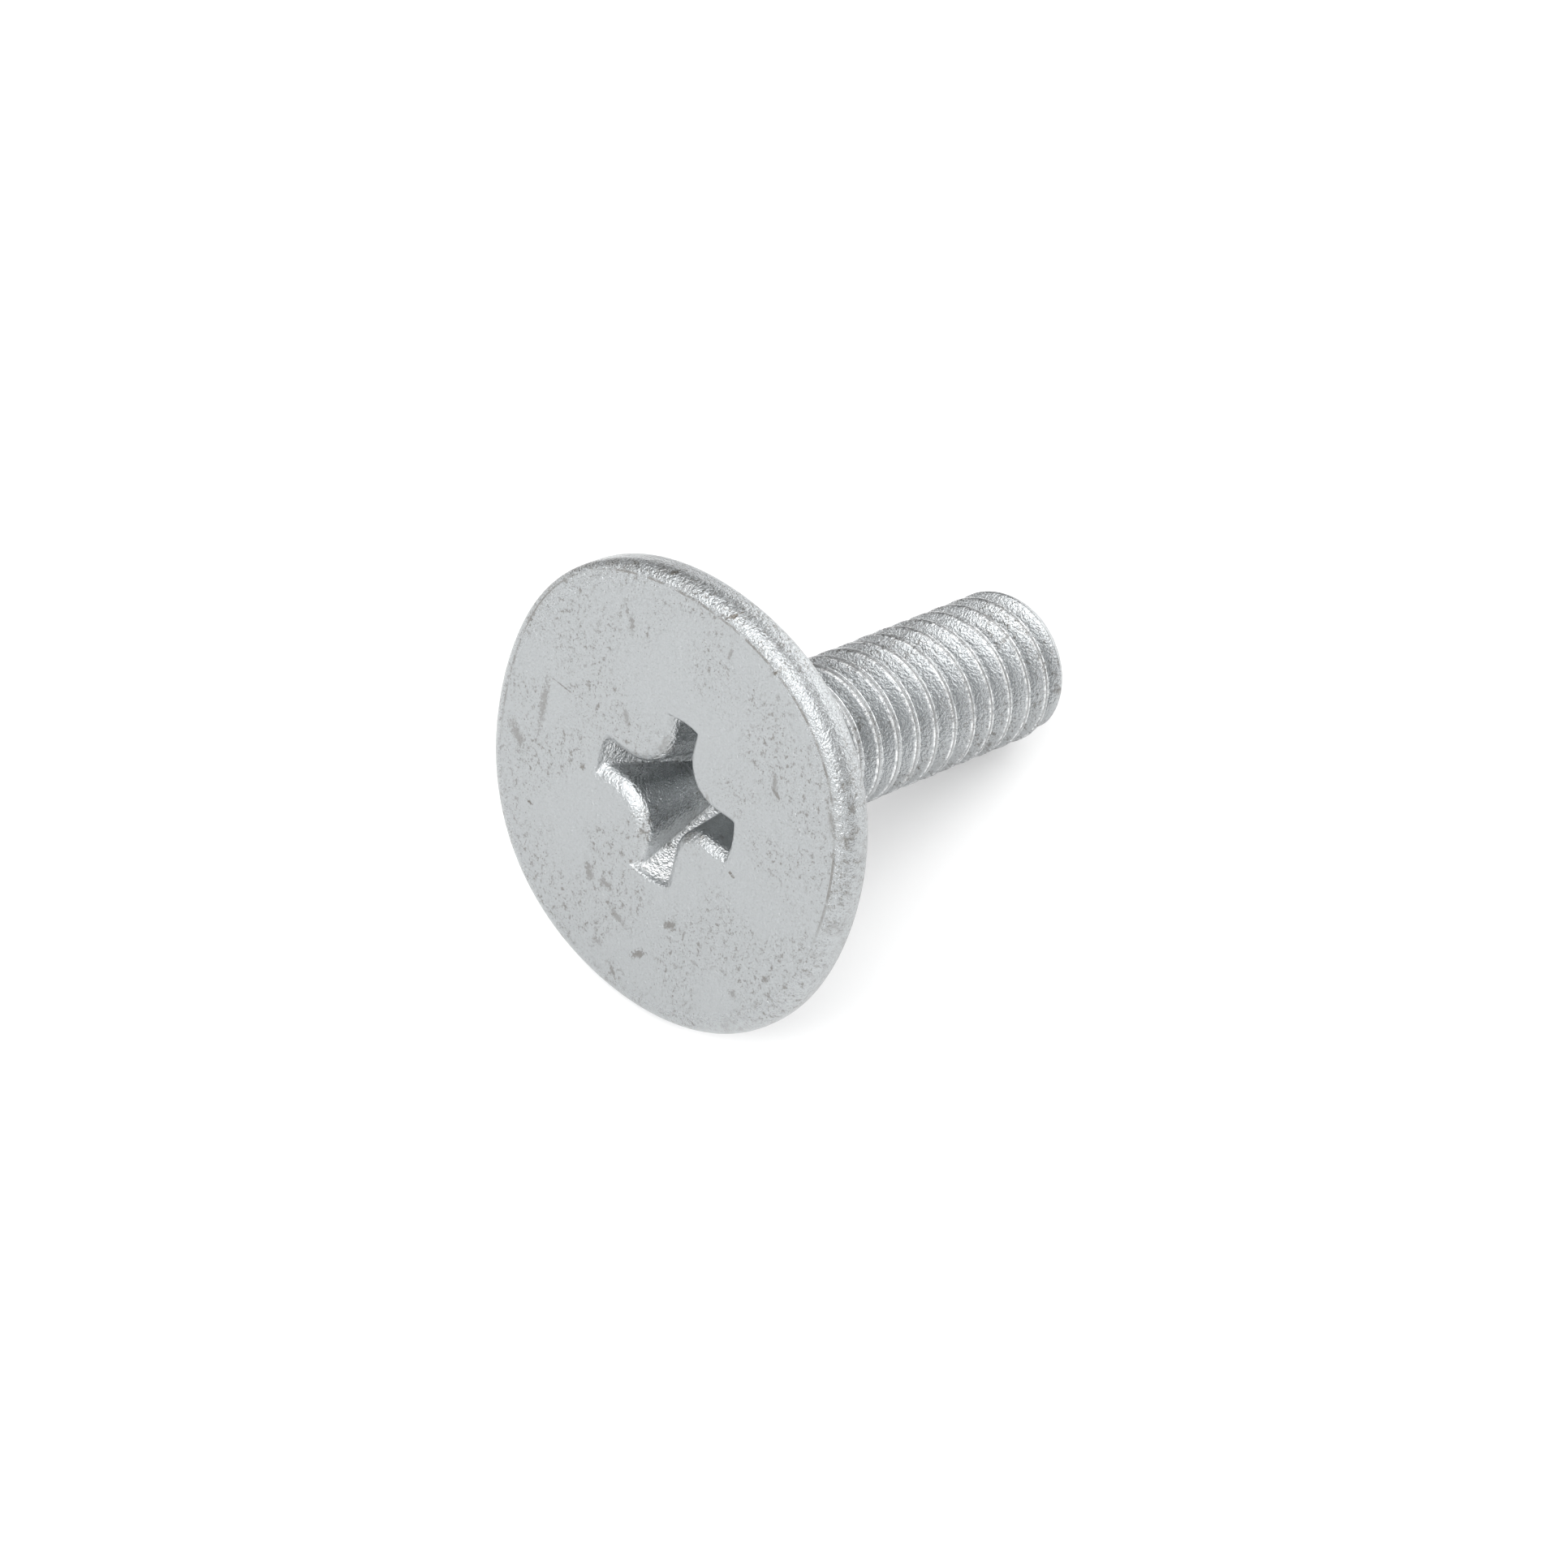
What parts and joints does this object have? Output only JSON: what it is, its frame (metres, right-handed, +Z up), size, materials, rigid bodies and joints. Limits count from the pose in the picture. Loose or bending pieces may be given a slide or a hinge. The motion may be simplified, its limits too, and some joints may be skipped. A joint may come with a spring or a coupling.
{
  "type": "bolt",
  "caption": "Machine screw with a wide thin flat disc head, a cross-shaped driver recess with rounded lobes and a metric thread, lying on its rim and thread end.",
  "frame": {"origin": "on the surface that the screw lies on, below the middle of its bounding box", "axes": "+Z up; +X runs along the screw from the head to the thread end, seen from above; the screw's own axis lies in the XZ plane and slopes down towards +X"},
  "size_m": [0.0144, 0.0116, 0.0112],
  "materials": {
    "zinc_coating": "matte light silver-grey zinc flake coating on steel, with fine dark specks and scuffs"
  },
  "bodies": {
    "root": {"bolt": "zinc_coating"}
  },
  "joints": []
}
